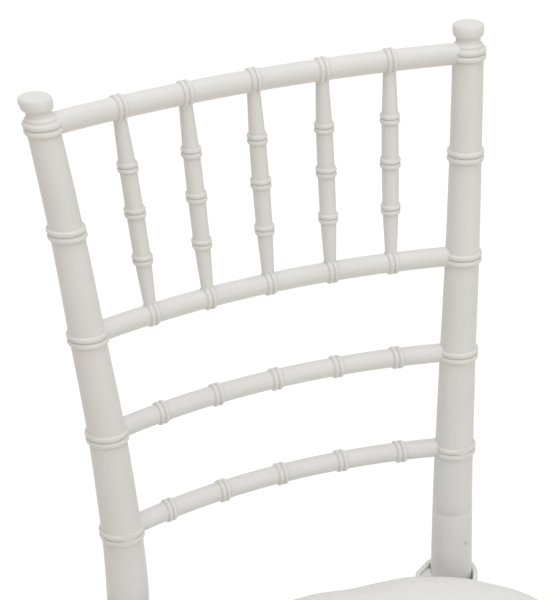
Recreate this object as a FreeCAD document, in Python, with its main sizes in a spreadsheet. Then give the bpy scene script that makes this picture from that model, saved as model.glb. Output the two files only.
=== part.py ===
import FreeCAD, Part
import math
import os

import Sketcher

# Banquet chair with a bamboo-look turned frame: moulded resin posts, rails, spindles, legs and stretchers,
# a ribbed resin seat, and a loose cushion held to the back by two straps.
# Millimetres, +Z up, the chair faces -Y. The origin is on the floor, at the middle of its width and depth.

os.makedirs("parts", exist_ok=True)
doc = FreeCAD.newDocument("chiavari_chair")

DIMENSIONS = [
    # Stations of a back post: its five knuckles, counted from the crest rail down, and the seam at its foot
    ("knuckle1_half_spacing", 169.7, "from the middle plane"),
    ("knuckle1_setback", 212.4, "behind the origin"),
    ("knuckle1_height", 894.1, "above the floor"),
    ("knuckle2_half_spacing", 161.8, "from the middle plane"),
    ("knuckle2_setback", 195.4, "behind the origin"),
    ("knuckle2_height", 818.5, "above the floor"),
    ("knuckle3_half_spacing", 155.0, "from the middle plane"),
    ("knuckle3_setback", 181.2, "behind the origin"),
    ("knuckle3_height", 738.9, "above the floor"),
    ("knuckle4_half_spacing", 148.0, "from the middle plane"),
    ("knuckle4_setback", 168.7, "behind the origin"),
    ("knuckle4_height", 660.5, "above the floor"),
    ("knuckle5_half_spacing", 143.2, "from the middle plane"),
    ("knuckle5_setback", 158.9, "behind the origin"),
    ("knuckle5_height", 578.7, "above the floor"),
    ("seam_half_spacing", 141.8, "where a back post plugs into its rear leg"),
    ("seam_setback", 154.6, "where a back post plugs into its rear leg"),
    ("seam_height", 519.5, "where a back post plugs into its rear leg"),
    # Stations of a rear leg below the seam
    ("thigh_half_spacing", 141.8, "upper knuckle, in line with the sleeve through the seat"),
    ("thigh_setback", 147.3, "upper knuckle"),
    ("thigh_height", 345.0, "upper knuckle"),
    ("shin_half_spacing", 143.2, "lower knuckle"),
    ("shin_setback", 159.0, "lower knuckle"),
    ("shin_height", 235.0, "lower knuckle"),
    ("foot_half_spacing", 148.0, "axis at the floor"),
    ("foot_setback", 193.0, "axis at the floor"),
    ("foot_height", 0.0, "floor"),
    # Radii of the internodes, the lengths between knuckles
    ("knuckle2_internode", 12.2, "from knuckle 1 to knuckle 2"),
    ("knuckle3_internode", 12.9, "from knuckle 2 to knuckle 3"),
    ("knuckle4_internode", 13.8, "from knuckle 3 to knuckle 4"),
    ("knuckle5_internode", 14.8, "from knuckle 4 to knuckle 5"),
    ("seam_internode", 16.0, "from knuckle 5 to the seam"),
    ("thigh_internode", 16.6, "rear leg from the seam to its upper knuckle"),
    ("shin_internode", 15.2, "rear leg between its knuckles"),
    ("foot_internode", 13.6, "rear leg below its knuckles"),
    ("front_top_internode", 16.4, "front leg under the seat"),
    ("front_middle_internode", 15.0, "front leg between its knuckles"),
    ("front_low_internode", 13.4, "front leg below its knuckles"),
    # Knuckles: a double ring on the posts, a single ring on legs and rails, sunk a little into their member
    ("post_ring_crest", 2.6, "middle of the knuckle to a ring's crest"),
    ("post_ring_end", 4.5, "middle of the knuckle to its sunk end"),
    ("post_ring_rise", 2.0, "crest above the member"),
    ("post_groove_rise", 0.8, "groove between the rings above the member"),
    ("leg_ring_end", 2.2, "middle of the ring to its sunk end"),
    ("leg_ring_rise", 1.6, "crest above the member"),
    ("rail_ring_end", 1.4, "middle of the ring to its sunk end"),
    ("rail_ring_rise", 1.1, "crest above the member"),
    ("knuckle_overrun", 0.4, "run of an internode past the middle of a knuckle, inside the collar"),
    ("ring_sink", 0.2, "depth of a collar's end below the skin of its member"),
    # Finial, along the post from the middle of the crest knuckle
    ("finial_neck_radius", 10.4, "neck below the knob"),
    ("finial_knob_base", 12.8, "underside of the knob"),
    ("finial_knob_radius", 12.2, "knob"),
    ("finial_shoulder", 19.4, "top of the knob's side"),
    ("finial_crown_radius", 10.6, "flat of the crown"),
    ("finial_top", 21.0, "crown"),
    # Back rails: five knuckles on an arc that bows backward, square to the lean of the posts
    ("bow_dip", 5.25, "degrees by which the arc's plane drops toward the back"),
    ("crest_rail_bow", 20.9, "rise of the arc"),
    ("spindle_rail_bow", 23.9, "rise of the arc"),
    ("middle_rail_bow", 24.7, "rise of the arc"),
    ("low_rail_bow", 24.4, "rise of the arc"),
    ("crest_rail_radius", 8.4, "round section"),
    ("spindle_rail_radius", 7.7, "round section"),
    ("middle_rail_radius", 7.5, "round section"),
    ("low_rail_radius", 7.5, "round section"),
    ("crest_inner_knuckle", 55.3, "from the middle plane"),
    ("crest_outer_knuckle", 108.9, "from the middle plane"),
    ("rail_inner_knuckle", 51.1, "from the middle plane, on the three lower rails"),
    ("rail_outer_knuckle", 99.8, "from the middle plane, on the three lower rails"),
    # Spindles
    ("spindle_radius", 6.0, "round section"),
    # Plug joint between a back post and its rear leg
    ("glue_gap", 0.05, "play round a plug or a peg, filled with glue"),
    ("spigot_radius", 11.0, "plug under a back post"),
    ("spigot_length", 45.0, "plug under a back post"),
    ("lock_screw_height", 497.0, "grub screw through the sleeve"),
    ("lock_screw_turn", 11.5, "degrees from straight ahead, toward the outside"),
    ("lock_screw_radius", 2.6, "grub screw"),
    ("lock_screw_sink", 0.8, "depth of the screw's head below the skin"),
    # Seat
    ("seat_height", 445.0, "top of the seat"),
    ("seat_thickness", 30.0, "over all"),
    ("seat_front", 241.0, "front edge, ahead of the origin"),
    ("seat_rear", 174.5, "rear edge, behind the origin"),
    ("seat_front_half_width", 201.0, "at the front edge"),
    ("seat_rear_half_width", 165.5, "at the rear edge"),
    ("seat_front_corner", 46.0, "corner radius"),
    ("seat_rear_corner", 23.5, "corner radius"),
    ("seat_edge", 3.0, "bevel of the top edge"),
    ("deck_thickness", 5.0, "top deck, and the ribs under it"),
    ("pocket_front", 227.0, "front of the first row of pockets, ahead of the origin"),
    ("pocket_rear", 163.0, "rear of the last row of pockets, behind the origin"),
    ("pocket_half_width", 104.0, "half width of the three middle columns"),
    ("corner_block", 25.0, "leg axis to the inner face of its corner block"),
    # Front legs
    ("front_leg_half_spacing", 172.0, "axis"),
    ("front_leg_advance", 215.0, "axis, ahead of the origin"),
    ("front_leg_peg_radius", 12.5, "peg in the seat's corner block"),
    ("front_leg_peg", 22.0, "length of the peg"),
    # Stretchers, plain bars between the legs
    ("stretcher_radius", 7.4, "round section"),
    ("front_stretcher_high", 315.0, "axis height"),
    ("front_stretcher_low", 200.0, "axis height, also of the rear stretcher"),
    ("side_stretcher_high", 285.0, "axis height"),
    ("side_stretcher_low", 170.0, "axis height"),
    # Glides
    ("glide_thickness", 4.0, "disc under a leg"),
    ("glide_radius", 14.2, "disc under a leg"),
    # Cushion and straps
    ("cushion_front", 243.0, "front edge, ahead of the origin"),
    ("cushion_rear", 152.0, "rear edge, behind the origin"),
    ("cushion_front_half_width", 204.0, "at the front edge"),
    ("cushion_rear_half_width", 170.8, "at the rear edge"),
    ("cushion_front_corner", 52.0, "corner radius"),
    ("cushion_rear_corner", 110.0, "corner radius, clear of the rear legs"),
    ("cushion_lift", 0.3, "play over the seat"),
    ("cushion_thickness", 46.0, "at the crown"),
    ("cushion_shoulder_run", 22.0, "slope of the shoulder, across"),
    ("cushion_shoulder_rise", 15.0, "slope of the shoulder, up"),
    ("cushion_crown_run", 27.0, "slope of the crown, across the top"),
    ("cushion_crown_edge", 5.0, "slope of the crown, down along the shoulder"),
    ("cushion_tuck", 8.0, "drawn-in lower edge"),
    ("strap_thickness", 2.4, "strap round a rear leg"),
    ("strap_width", 20.0, "strap round a rear leg"),
    ("strap_inner_radius", 19.6, "loop, wider than the leg"),
    ("strap_slack", 2.4, "offset of the loop toward the middle of the chair"),
    ("strap_tail", 18.5, "from the loop's axis to the strap's ends"),
    ("strap_turn", 56.8, "degrees by which the ends turn from sideways to the front"),
]

sheet = doc.addObject("Spreadsheet::Sheet", "sizes")
for row, (alias, value, meaning) in enumerate(DIMENSIONS, start=1):
    sheet.set("A%d" % row, meaning)
    sheet.set("B%d" % row, str(value))
    sheet.setAlias("B%d" % row, alias)
doc.recompute()

UP = FreeCAD.Vector(0, 0, 1)
ALONG_X = FreeCAD.Vector(1, 0, 0)
SIDES = (("left", -1), ("right", 1))


def size(alias):
    return float(sheet.get(alias))


def evaluate(expression):
    return float(sheet.evalExpression(expression))


def cell(alias):
    """The alias as an expression that an object can be bound to."""
    return "sizes." + alias


def along(start, direction):
    """A placement at a point whose X axis runs along a direction."""
    return FreeCAD.Placement(start, FreeCAD.Rotation(ALONG_X, direction))


def new_body(label, placement=None):
    body = doc.addObject("PartDesign::Body", label)
    body.Label = label
    if placement:
        body.Placement = placement
    return body


def attach(feature, body, offset=None):
    """Fix a sketch or primitive to the body's base plane, moved by an offset."""
    plane = [part for part in body.Origin.OriginFeatures if part.Role == "XY_Plane"][0]
    feature.AttachmentSupport = [(plane, "")]
    feature.MapMode = "FlatFace"
    if offset:
        feature.AttachmentOffset = offset


def outline(body, name, corners, offset=None):
    """A closed sketch with every corner held by expressions.

    A corner is (x, y), or (x, y, radius, bulge) where an arc runs on to the next corner; the bulge
    is +1 or -1 for the side of the chord, left or right, that the arc stands on.
    """
    sketch = body.newObject("Sketcher::SketchObject", name)
    attach(sketch, body, offset)
    points = [FreeCAD.Vector(evaluate(corner[0]), evaluate(corner[1]), 0) for corner in corners]
    ends = []
    for index, corner in enumerate(corners):
        start, stop = points[index], points[(index + 1) % len(points)]
        if len(corner) == 2:
            sketch.addGeometry(Part.LineSegment(start, stop))
            ends.append((1, 2))
            continue
        chord = stop - start
        radius = evaluate(corner[2])
        normal = UP.cross(chord).normalize() * corner[3]
        centre = (start + stop) / 2 - normal * math.sqrt(radius**2 - chord.Length**2 / 4)
        first, last = (stop, start) if corner[3] > 0 else (start, stop)
        angles = [math.atan2(point.y - centre.y, point.x - centre.x) for point in (first, last)]
        sketch.addGeometry(Part.ArcOfCircle(Part.Circle(centre, UP, radius), angles[0], angles[1]))
        ends.append((2, 1) if corner[3] > 0 else (1, 2))
        held = sketch.addConstraint(Sketcher.Constraint("Radius", index, radius))
        sketch.setExpression("Constraints[%d]" % held, corner[2])
    for index, point in enumerate(points):
        follower = (index + 1) % len(corners)
        sketch.addConstraint(
            Sketcher.Constraint("Coincident", index, ends[index][1], follower, ends[follower][0])
        )
        vertex = ends[index][0]
        for kind, value, expression, axis in (
            ("DistanceX", point.x, corners[index][0], -2),
            ("DistanceY", point.y, corners[index][1], -1),
        ):
            if abs(value) < 1e-9:
                sketch.addConstraint(Sketcher.Constraint("PointOnObject", index, vertex, axis))
                continue
            held = sketch.addConstraint(Sketcher.Constraint(kind, -1, 1, index, vertex, value))
            sketch.setExpression("Constraints[%d]" % held, expression)
    return sketch


def turn(body, name, corners, offset=None, cut=False):
    """Turn an outline once round its own X axis, to add or to cut away."""
    sketch = outline(body, name + "_outline", corners, offset)
    feature = body.newObject("PartDesign::Groove" if cut else "PartDesign::Revolution", name)
    feature.Profile = sketch
    feature.ReferenceAxis = (sketch, ["H_Axis"])
    feature.Angle = 360
    return feature


def cylinder(body, name, start, direction, radius, height, cut=False):
    """A round bar or bore from a point of the chair's frame along a direction of it."""
    kind = "PartDesign::SubtractiveCylinder" if cut else "PartDesign::AdditiveCylinder"
    feature = body.newObject(kind, name)
    home = body.Placement.inverse()
    way = home.Rotation.multVec(direction)
    attach(feature, body, FreeCAD.Placement(home.multVec(start), FreeCAD.Rotation(UP, way)))
    feature.setExpression("Radius", radius)
    feature.setExpression("Height", height)
    return feature


def trim(body, name, point, way, reach):
    """Cut off all of a bar beyond a plane through a point, square to a way."""
    turned = FreeCAD.Rotation(UP, way)
    half = evaluate(reach) / 2
    box = body.newObject("PartDesign::SubtractiveBox", name)
    attach(box, body, FreeCAD.Placement(point + turned.multVec(FreeCAD.Vector(-half, -half, 0)), turned))
    for side in ("Length", "Width", "Height"):
        box.setExpression(side, reach)
    return box


def ring_corners(kind, before, after):
    """Corners of a collar's outline round X = 0; before and after are its member's radii, as expressions."""
    rise = "max(%s; %s) + sizes.%s_ring_rise" % (before, after, kind)
    end = "sizes.%s_ring_end" % kind
    crests = [("0", rise)]
    if kind == "post":
        groove = "max(%s; %s) + sizes.post_groove_rise" % (before, after)
        crests = [("-sizes.post_ring_crest", rise), ("0", groove), ("sizes.post_ring_crest", rise)]
    left = [("-" + end, "0"), ("-" + end, before + " - sizes.ring_sink")]
    right = [(end, after + " - sizes.ring_sink"), (end, "0")]
    return left + crests + right


def station(name, side):
    """A point of the centreline of a post or rear leg; side is -1 for the left and 1 for the right."""
    return FreeCAD.Vector(
        side * size(name + "_half_spacing"), size(name + "_setback"), size(name + "_height")
    )


def jointed_bar(body, points, radii, kind):
    """A bar of straight round internodes that bends a little at each knuckle, under a turned collar."""
    runs = [(stop - start).normalize() for start, stop in zip(points, points[1:])]
    overrun = size("knuckle_overrun")
    for index, (start, stop, way) in enumerate(zip(points, points[1:], runs)):
        first = start if index == 0 else start - way * overrun
        last = stop if index == len(runs) - 1 else stop + way * overrun
        cylinder(body, "internode_%d" % (index + 1), first, way, radii[index], "%.4f" % (last - first).Length)
    home = body.Placement.inverse()
    for index, point in enumerate(points[1:-1]):
        way = home.Rotation.multVec((runs[index] + runs[index + 1]).normalize())
        corners = ring_corners(kind, radii[index], radii[index + 1])
        turn(body, "knuckle_%d" % (index + 1), corners, along(home.multVec(point), way))


POST_STATIONS = ["knuckle1", "knuckle2", "knuckle3", "knuckle4", "knuckle5", "seam"]
LEG_STATIONS = ["seam", "thigh", "shin", "foot"]


def post_way(name, side):
    """The way a back post's knuckle faces: the mean of the internodes beside it, pointing down."""
    index = POST_STATIONS.index(name)
    below = (station(POST_STATIONS[index + 1], side) - station(name, side)).normalize()
    if index == 0:
        return below
    above = (station(name, side) - station(POST_STATIONS[index - 1], side)).normalize()
    return (above + below).normalize()


def post_crest(name):
    """Radius of a back post's rings at a knuckle, as an expression: they stand on its thicker internode."""
    below = POST_STATIONS[POST_STATIONS.index(name) + 1]
    return "sizes.%s_internode + sizes.post_ring_rise" % below


# Back rails: each runs on an arc that bows backward between two knuckles of the posts.
RAILS = {
    "crest_rail": ("knuckle1", "crest_inner_knuckle", "crest_outer_knuckle"),
    "spindle_rail": ("knuckle3", "rail_inner_knuckle", "rail_outer_knuckle"),
    "middle_rail": ("knuckle4", "rail_inner_knuckle", "rail_outer_knuckle"),
    "low_rail": ("knuckle5", "rail_inner_knuckle", "rail_outer_knuckle"),
}


def rail_points(label):
    """A rail's stations from left to right: both posts' axes and the five knuckles between them."""
    level, inner, outer = RAILS[label]
    half, bow = size(level + "_half_spacing"), size(label + "_bow")
    radius = (half**2 + bow**2) / (2 * bow)
    dip = math.radians(size("bow_dip"))
    back = FreeCAD.Vector(0, math.cos(dip), -math.sin(dip))
    centre = FreeCAD.Vector(0, size(level + "_setback"), size(level + "_height")) + back * (bow - radius)
    offsets = [-half, -size(outer), -size(inner), 0.0, size(inner), size(outer), half]
    return [centre + ALONG_X * offset + back * math.sqrt(radius**2 - offset**2) for offset in offsets]


def rail(label):
    """A bowed rail with five knuckles; its ends are coped to the rings of the posts."""
    points = rail_points(label)
    body = new_body(label)
    radius = cell(label + "_radius")
    jointed_bar(body, points, [radius] * 6, "rail")
    level = RAILS[label][0]
    for name, side in SIDES:
        way = post_way(level, side)
        cylinder(body, "cope_" + name, station(level, side) - way * 30, way, post_crest(level), "60", cut=True)
    return body


def spindle(number):
    """A round spindle between the upper rails, coped to the rings of their knuckles."""
    tops, feet = rail_points("crest_rail"), rail_points("spindle_rail")
    top, foot = tops[number], feet[number]
    span = foot - top
    body = new_body("spindle_%d" % number, along(top, span))
    cylinder(body, "bar", top, span, cell("spindle_radius"), "%.4f" % span.Length)
    for label, points in (("crest_rail", tops), ("spindle_rail", feet)):
        before, after = points[number] - points[number - 1], points[number + 1] - points[number]
        way = (before.normalize() + after.normalize()).normalize()
        radius = cell(label + "_radius") + " + sizes.rail_ring_rise"
        cylinder(body, "cope_" + label, points[number] - way * 15, way, radius, "30", cut=True)
    return body


def lock_screw_line(side):
    """The middle of a grub screw's hole on the leg's skin, and the way that it points."""
    seam, thigh = station("seam", side), station("thigh", side)
    axis = seam + (thigh - seam) * ((seam.z - size("lock_screw_height")) / (seam.z - thigh.z))
    angle = math.radians(size("lock_screw_turn"))
    outward = FreeCAD.Vector(side * math.sin(angle), -math.cos(angle), 0)
    return axis + outward * size("thigh_internode"), outward * -1


def back_post(label, side):
    """A post of the back: five knuckles, a finial, and a plug that goes down into the rear leg."""
    body = new_body(label)
    points = [station(name, side) for name in POST_STATIONS]
    seam = points[-1]
    radii = [cell(name + "_internode") for name in POST_STATIONS[1:]]
    neck = points[0] - (points[1] - points[0]).normalize() * (size("finial_knob_base") + 1)
    beyond = seam + (seam - points[-2]).normalize() * 3
    jointed_bar(body, [neck] + points[:-1] + [beyond], [cell("finial_neck_radius")] + radii, "post")
    corners = [
        (cell("finial_knob_base"), "0"),
        (cell("finial_knob_base"), cell("finial_knob_radius")),
        (cell("finial_shoulder"), cell("finial_knob_radius")),
        (cell("finial_top"), cell("finial_crown_radius")),
        (cell("finial_top"), "0"),
    ]
    turn(body, "knob", corners, along(points[0], points[0] - points[1]))
    down = (station("thigh", side) - seam).normalize()
    trim(body, "shoulder", seam, down, "6 * sizes.seam_internode")
    cylinder(body, "spigot", seam - down * 4, down, cell("spigot_radius"), "sizes.spigot_length + 4")
    return body


def rear_leg(label, side):
    """A rear leg: a sleeve for the back post at its top, two knuckles, and a raked lower part."""
    body = new_body(label)
    points = [station(name, side) for name in LEG_STATIONS]
    radii = [cell(name + "_internode") for name in LEG_STATIONS[1:]]
    beyond = points[-1] + (points[-1] - points[-2]).normalize() * 10
    jointed_bar(body, points[:-1] + [beyond], radii, "leg")
    down = (points[1] - points[0]).normalize()
    cylinder(
        body, "sleeve", points[0] - down * 5, down, "sizes.spigot_radius + sizes.glue_gap",
        "sizes.spigot_length + 5 + sizes.glue_gap", cut=True,
    )
    skin, inward = lock_screw_line(side)
    cylinder(
        body, "screw_hole", skin - inward * 3, inward, "sizes.lock_screw_radius + sizes.glue_gap", "12", cut=True
    )
    trim(body, "sole", points[-1] + UP * size("glide_thickness"), UP * -1, "6 * sizes.foot_internode")
    return body


def front_leg(label, side):
    """A turned front leg with two knuckles and a peg that goes up into the seat."""
    foot = FreeCAD.Vector(side * size("front_leg_half_spacing"), -size("front_leg_advance"), 0)
    body = new_body(label, along(foot, UP))
    low, middle, top = (cell("front_%s_internode" % part) for part in ("low", "middle", "top"))
    shoulder = "sizes.seat_height - sizes.seat_thickness"
    peg_top = shoulder + " + sizes.front_leg_peg"
    corners = [
        (cell("glide_thickness"), "0"),
        (cell("glide_thickness"), low),
        ("sizes.shin_height - sizes.leg_ring_end", low),
        (cell("shin_height"), middle + " + sizes.leg_ring_rise"),
        ("sizes.shin_height + sizes.leg_ring_end", middle),
        ("sizes.thigh_height - sizes.leg_ring_end", middle),
        (cell("thigh_height"), top + " + sizes.leg_ring_rise"),
        ("sizes.thigh_height + sizes.leg_ring_end", top),
        (shoulder, top),
        (shoulder, cell("front_leg_peg_radius")),
        (peg_top, cell("front_leg_peg_radius")),
        (peg_top, "0"),
    ]
    turn(body, "turned", corners)
    return body


def leg_section(side, end, height):
    """At a height of a leg: a point of its axis, the way down its internode, and the internode's radius."""
    if end == "front":
        part = "top" if height > size("thigh_height") else "middle" if height > size("shin_height") else "low"
        axis = FreeCAD.Vector(side * size("front_leg_half_spacing"), -size("front_leg_advance"), height)
        return axis, UP * -1, cell("front_%s_internode" % part)
    points = [station(name, side) for name in LEG_STATIONS]
    for name, high, low in zip(LEG_STATIONS[1:], points, points[1:]):
        if height >= low.z:
            axis = high + (low - high) * ((high.z - height) / (high.z - low.z))
            return axis, (low - high).normalize(), cell(name + "_internode")


STRETCHERS = {
    "front_stretcher_upper": ((-1, "front"), (1, "front"), "front_stretcher_high"),
    "front_stretcher_lower": ((-1, "front"), (1, "front"), "front_stretcher_low"),
    "rear_stretcher": ((-1, "rear"), (1, "rear"), "front_stretcher_low"),
    "side_stretcher_upper_left": ((-1, "front"), (-1, "rear"), "side_stretcher_high"),
    "side_stretcher_lower_left": ((-1, "front"), (-1, "rear"), "side_stretcher_low"),
    "side_stretcher_upper_right": ((1, "front"), (1, "rear"), "side_stretcher_high"),
    "side_stretcher_lower_right": ((1, "front"), (1, "rear"), "side_stretcher_low"),
}


def stretcher(label):
    """A round bar between two legs, coped to them."""
    first, second, level = STRETCHERS[label]
    sections = [leg_section(side, end, size(level)) for side, end in (first, second)]
    start, stop = sections[0][0], sections[1][0]
    body = new_body(label)
    cylinder(body, "bar", start, stop - start, cell("stretcher_radius"), "%.4f" % (stop - start).Length)
    for name, (axis, way, radius) in zip(("start", "stop"), sections):
        cylinder(body, "cope_" + name, axis - way * 30, way, radius, "60", cut=True)
    return body


def group(label, members):
    """Like pieces gathered as one node."""
    gathered = doc.addObject("Part::Compound", label)
    gathered.Links = members
    return gathered


def glides():
    """A plastic disc under each leg."""
    members = []
    for end in ("front", "rear"):
        for name, side in SIDES:
            axis = leg_section(side, end, size("glide_thickness"))[0]
            body = new_body("glide_%s_%s" % (end, name))
            foot = FreeCAD.Vector(axis.x, axis.y, 0)
            cylinder(body, "disc", foot, UP, cell("glide_radius"), cell("glide_thickness"))
            members.append(body)
    return group("glides", members)


def upright_edges(shape, least_x, front):
    """Names of the upright edges at the front or rear corners of a pad."""
    names = []
    for number, edge in enumerate(shape.Edges, start=1):
        box = edge.BoundBox
        upright = box.ZLength > 20 and box.XLength < 1 and box.YLength < 1
        if upright and abs(edge.CenterOfMass.x) > least_x and (edge.CenterOfMass.y < 0) == front:
            names.append("Edge%d" % number)
    return names


def level_edges(shape, height):
    """Names of the edges that lie flat at a height."""
    return [
        "Edge%d" % number
        for number, edge in enumerate(shape.Edges, start=1)
        if abs(edge.BoundBox.ZMin - height) < 0.01 and edge.BoundBox.ZLength < 0.01
    ]


def dress(body, kind, name, base, edges, **sizes):
    """Fillet or chamfer edges of the feature before."""
    feature = body.newObject("PartDesign::" + kind, name)
    feature.Base = (base, edges)
    if kind == "Chamfer" and "Size2" in sizes:
        feature.ChamferType = "Two distances"
    for prop, expression in sizes.items():
        feature.setExpression(prop, expression)
    doc.recompute()
    return feature


def rounded_slab(body, prefix, base, thickness):
    """A four-sided plan, narrower at the rear, padded up and rounded at its corners."""
    plan = [
        ("-sizes.%s_front_half_width" % prefix, "-sizes.%s_front" % prefix),
        ("sizes.%s_front_half_width" % prefix, "-sizes.%s_front" % prefix),
        ("sizes.%s_rear_half_width" % prefix, "sizes.%s_rear" % prefix),
        ("-sizes.%s_rear_half_width" % prefix, "sizes.%s_rear" % prefix),
    ]
    pad = body.newObject("PartDesign::Pad", "slab")
    pad.Profile = outline(body, "plan", plan, FreeCAD.Placement(UP * base, FreeCAD.Rotation()))
    pad.setExpression("Length", thickness)
    doc.recompute()
    feature = pad
    for end in ("front", "rear"):
        edges = upright_edges(feature.Shape, 150, end == "front")
        feature = dress(
            body, "Fillet", end + "_corners", feature, edges, Radius="sizes.%s_%s_corner" % (prefix, end)
        )
    return feature


def pocket_boxes():
    """Plan boxes of the pockets under the deck: five rows of three, and a column along each side."""
    rib = size("deck_thickness")
    front, rear = -size("pocket_front"), size("pocket_rear")
    depth = (rear - front - 4 * rib) / 5
    half = size("pocket_half_width")
    width = (2 * half - 2 * rib) / 3
    boxes = []
    for row in range(5):
        low = front + row * (depth + rib)
        high = low + depth
        for column in range(3):
            left = -half + column * (width + rib)
            boxes.append((left, low, left + width, high))
        if row in (0, 4):
            leg = size("front_leg_half_spacing") if row == 0 else size("thigh_half_spacing")
            limit = leg - size("corner_block")
        else:
            share = (high + size("seat_front")) / (size("seat_front") + size("seat_rear"))
            narrowing = size("seat_front_half_width") - size("seat_rear_half_width")
            limit = size("seat_front_half_width") - share * narrowing - rib
        if limit - half > 3 * rib:
            boxes.append((half + rib, low, limit, high))
            boxes.append((-limit, low, -half - rib, high))
    return boxes


def seat():
    """The moulded seat: a deck with a skirt, pockets between ribs underneath, and solid corner blocks."""
    body = new_body("seat_frame")
    underside = size("seat_height") - size("seat_thickness")
    slab = rounded_slab(body, "seat", underside, cell("seat_thickness"))
    rim = level_edges(slab.Shape, size("seat_height"))
    dress(body, "Chamfer", "rim", slab, rim, Size=cell("seat_edge"))
    plan = body.newObject("Sketcher::SketchObject", "pockets_plan")
    attach(plan, body, FreeCAD.Placement(UP * underside, FreeCAD.Rotation()))
    for left, low, right, high in pocket_boxes():
        ring = [(left, low), (right, low), (right, high), (left, high)]
        for (ax, ay), (bx, by) in zip(ring, ring[1:] + ring[:1]):
            plan.addGeometry(Part.LineSegment(FreeCAD.Vector(ax, ay, 0), FreeCAD.Vector(bx, by, 0)))
    pockets = body.newObject("PartDesign::Pocket", "pockets")
    pockets.Profile = plan
    pockets.setExpression("Length", "sizes.seat_thickness - sizes.deck_thickness")
    pockets.Reversed = True
    for name, side in SIDES:
        axis, down, radius = leg_section(side, "rear", size("seat_height"))
        cylinder(body, "sleeve_bore_" + name, axis - down * 10, down, radius + " + 0.15", "60", cut=True)
        axis = leg_section(side, "front", underside - 1)[0]
        cylinder(
            body, "peg_bore_" + name, axis, UP, "sizes.front_leg_peg_radius + sizes.glue_gap",
            "sizes.front_leg_peg + 1 + sizes.glue_gap", cut=True,
        )
    return body


def cushion():
    """A soft pad: drawn in at its lower edge, with a sloping shoulder and a shallow crown."""
    body = new_body("seat_cushion")
    base = size("seat_height") + size("cushion_lift")
    top = base + size("cushion_thickness")
    slab = rounded_slab(body, "cushion", base, cell("cushion_thickness"))
    shoulder = dress(
        body, "Chamfer", "shoulder", slab, level_edges(slab.Shape, top),
        Size=cell("cushion_shoulder_rise"), Size2=cell("cushion_shoulder_run"),
    )
    crown = dress(
        body, "Chamfer", "crown", shoulder, level_edges(shoulder.Shape, top),
        Size=cell("cushion_crown_edge"), Size2=cell("cushion_crown_run"),
    )
    dress(body, "Chamfer", "tuck", crown, level_edges(crown.Shape, base), Size=cell("cushion_tuck"))
    return body


def strap(name, side):
    """A loose loop round the back of a rear leg, its two ends turned to the cushion's corner."""
    level = size("seat_height") + size("cushion_lift")
    axis = leg_section(side, "rear", level + size("strap_width") / 2)[0]
    angle = math.radians(size("strap_turn"))
    forward = FreeCAD.Vector(-side * math.cos(angle), -math.sin(angle), 0)
    slack = UP.cross(forward) * -side * size("strap_slack")
    origin = FreeCAD.Vector(axis.x, axis.y, level) + slack
    body = new_body("strap_" + name, along(origin, forward))
    inner, outer = cell("strap_inner_radius"), "sizes.strap_inner_radius + sizes.strap_thickness"
    tail = cell("strap_tail")
    corners = [
        (tail, "-(%s)" % outer),
        (tail, "-" + inner),
        ("0", "-" + inner, inner, 1),
        ("-" + inner, "0", inner, 1),
        ("0", inner),
        (tail, inner),
        (tail, outer),
        ("0", outer, outer, -1),
        ("-(%s)" % outer, "0", outer, -1),
        ("0", "-(%s)" % outer),
    ]
    loop = body.newObject("PartDesign::Pad", "loop")
    loop.Profile = outline(body, "plan", corners)
    loop.setExpression("Length", cell("strap_width"))
    return body


def straps():
    """Both straps, as one group."""
    return group("cushion_straps", [strap(name, side) for name, side in SIDES])


def lock_screws():
    """The two grub screws that hold the back posts in their sleeves, as one group."""
    members = []
    for name, side in SIDES:
        skin, inward = lock_screw_line(side)
        body = new_body("lock_screw_" + name)
        start = skin + inward * size("lock_screw_sink")
        length = "sizes.thigh_internode - sizes.lock_screw_sink - sizes.spigot_radius - sizes.glue_gap"
        cylinder(body, "screw", start, inward, cell("lock_screw_radius"), length)
        members.append(body)
    return group("post_lock_screws", members)


pieces = [rail(label) for label in RAILS]
pieces += [spindle(number) for number in range(1, 6)]
pieces += [stretcher(label) for label in STRETCHERS]
for name, side in SIDES:
    pieces.append(back_post("back_post_" + name, side))
    pieces.append(rear_leg("rear_leg_" + name, side))
    pieces.append(front_leg("front_leg_" + name, side))
pieces += [glides(), lock_screws(), straps(), seat(), cushion()]
doc.recompute()

for item in doc.Objects:
    if "Invalid" in item.State or "Error" in item.State:
        raise RuntimeError("%s (%s) is %s" % (item.Name, item.Label, item.State))
for piece in pieces:
    if piece.Shape.isNull() or not piece.Shape.isValid() or not piece.Shape.Solids:
        raise RuntimeError("%s has no sound solid" % piece.Label)
    piece.Shape.exportStep("parts/%s.step" % piece.Label)
    print("%-28s %8.1f cm3" % (piece.Label, piece.Shape.Volume / 1000))
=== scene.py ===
import math

import bpy
from mathutils import Matrix, Vector


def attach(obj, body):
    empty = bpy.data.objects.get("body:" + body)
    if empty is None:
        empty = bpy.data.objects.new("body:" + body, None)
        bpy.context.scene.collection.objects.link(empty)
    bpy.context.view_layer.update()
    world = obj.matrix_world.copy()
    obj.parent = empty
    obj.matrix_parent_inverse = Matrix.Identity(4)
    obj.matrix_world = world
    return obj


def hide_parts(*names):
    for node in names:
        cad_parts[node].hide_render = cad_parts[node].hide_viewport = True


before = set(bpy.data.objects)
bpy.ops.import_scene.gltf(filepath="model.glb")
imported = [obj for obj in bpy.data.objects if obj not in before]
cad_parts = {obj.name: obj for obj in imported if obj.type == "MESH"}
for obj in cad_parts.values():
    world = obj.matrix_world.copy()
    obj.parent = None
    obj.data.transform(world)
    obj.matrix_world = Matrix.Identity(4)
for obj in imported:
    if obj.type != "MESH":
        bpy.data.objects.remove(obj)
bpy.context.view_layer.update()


# The view of the chair: from the front and its left side, looking down on the top half of the back.
# The lens is long, so the rails and posts stay almost parallel.
VIEW_TURN = -24.51
VIEW_DROP = 28.42
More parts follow.
